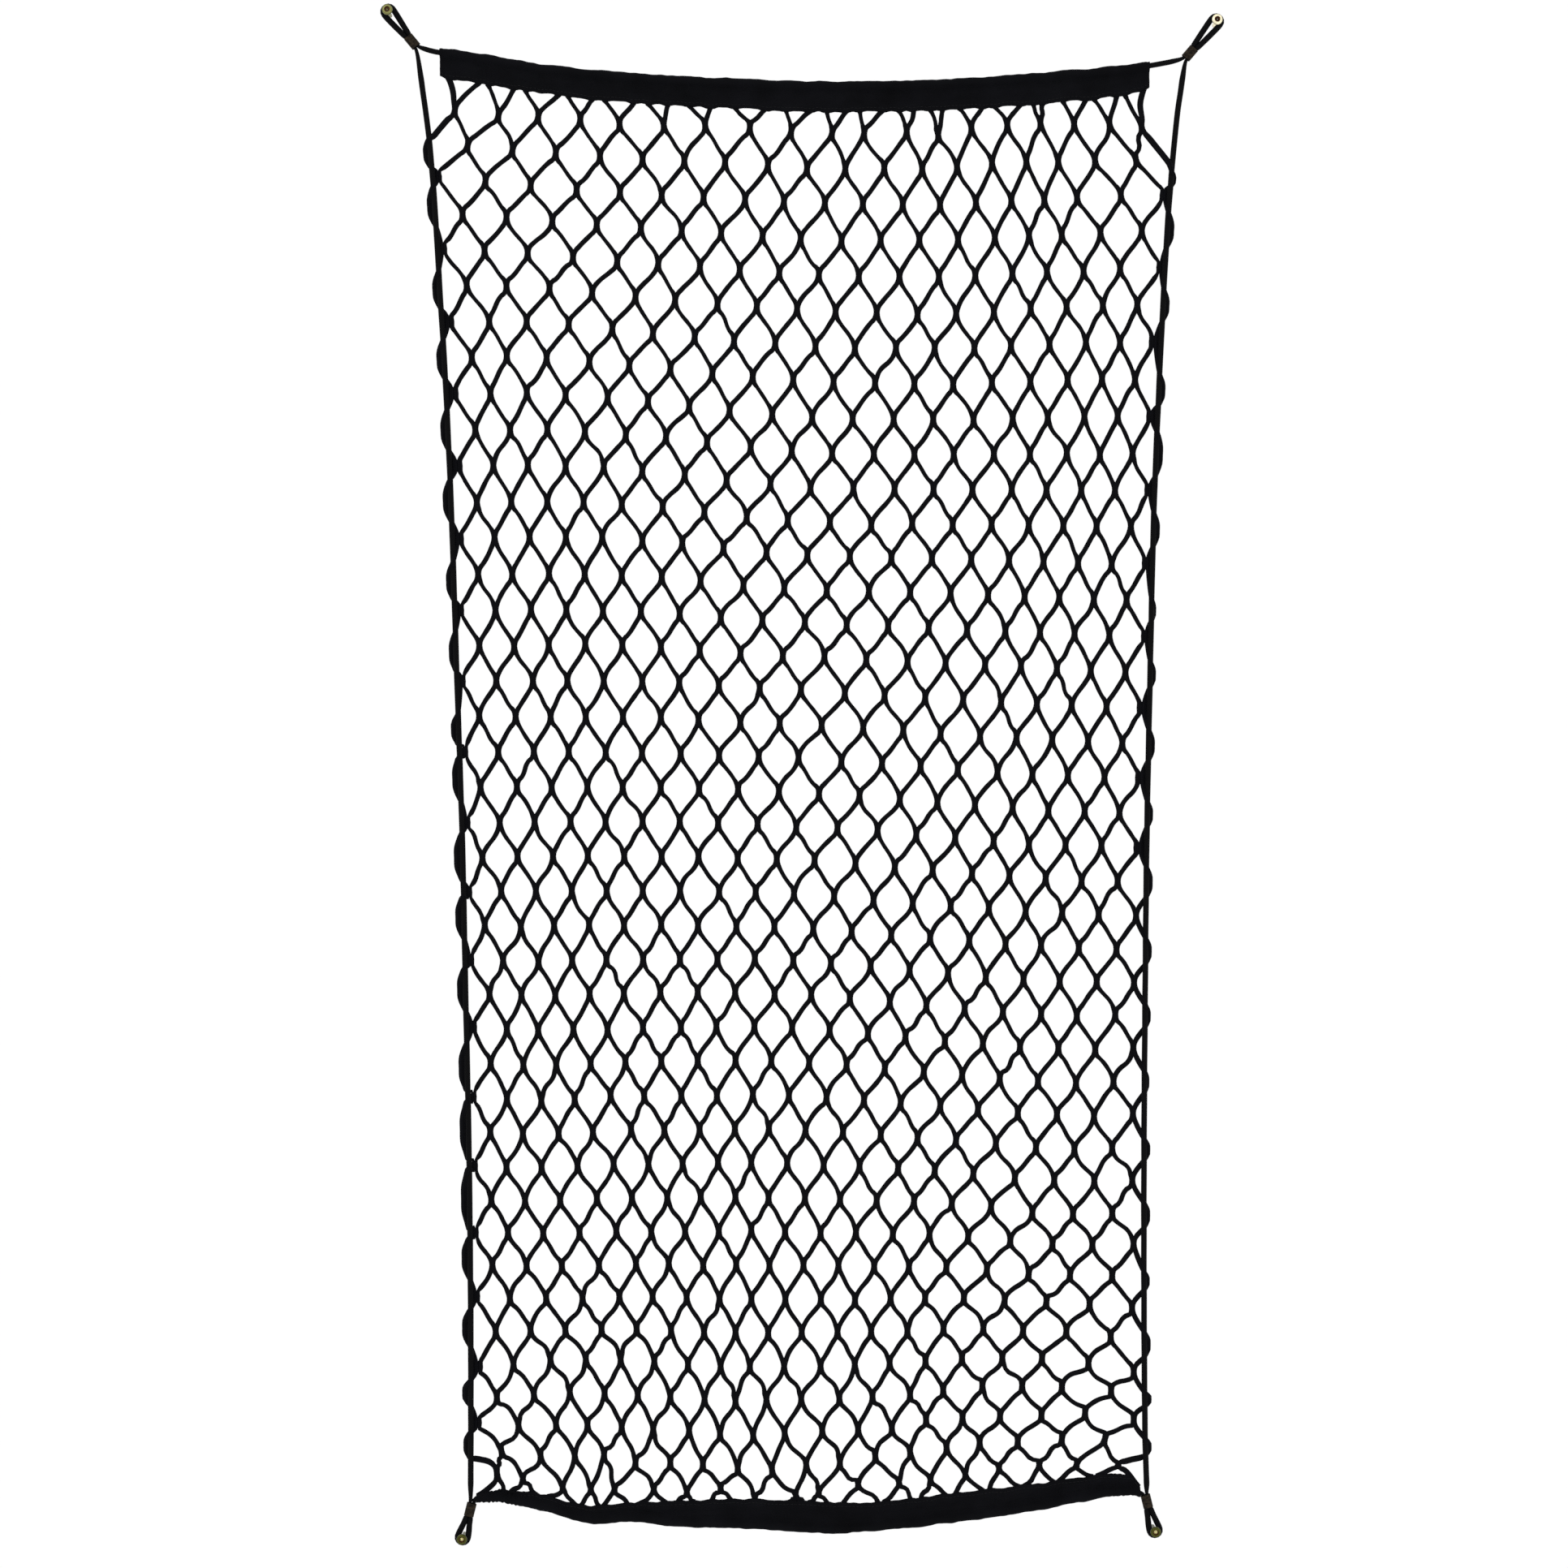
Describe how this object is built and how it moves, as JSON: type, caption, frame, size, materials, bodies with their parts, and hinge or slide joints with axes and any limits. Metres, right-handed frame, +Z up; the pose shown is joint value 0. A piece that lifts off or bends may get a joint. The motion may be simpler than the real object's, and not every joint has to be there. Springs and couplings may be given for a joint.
{
  "type": "cargo net with hook pins",
  "caption": "Elastic cargo net laid flat: diamond-mesh netting sewn into folded end bands, a shock cord all round, crimped corner loops and brass headed pins.",
  "frame": {"origin": "middle of the bounding box, on the surface that the net lies on", "axes": "+Y along the net's length towards its top band, +X to the right across it, +Z up out of its face"},
  "size_m": [0.759, 1.3877, 0.023],
  "materials": {
    "twine": "black knitted polyester twine, matt",
    "tape": "black woven tape, matt",
    "cord": "black braided cover over a rubber core",
    "bronze": "dark bronze, satin",
    "brass": "polished, slightly dulled"
  },
  "bodies": {
    "root": {"netting": "twine", "top_band": "tape", "bottom_band": "tape", "shock_cord": "cord", "ferrule_top_left": "bronze", "ferrule_top_right": "bronze", "ferrule_bottom_right": "bronze", "ferrule_bottom_left": "bronze", "pin_top_left": "brass", "pin_top_right": "brass", "pin_bottom_right": "brass", "pin_bottom_left": "brass"}
  },
  "joints": []
}
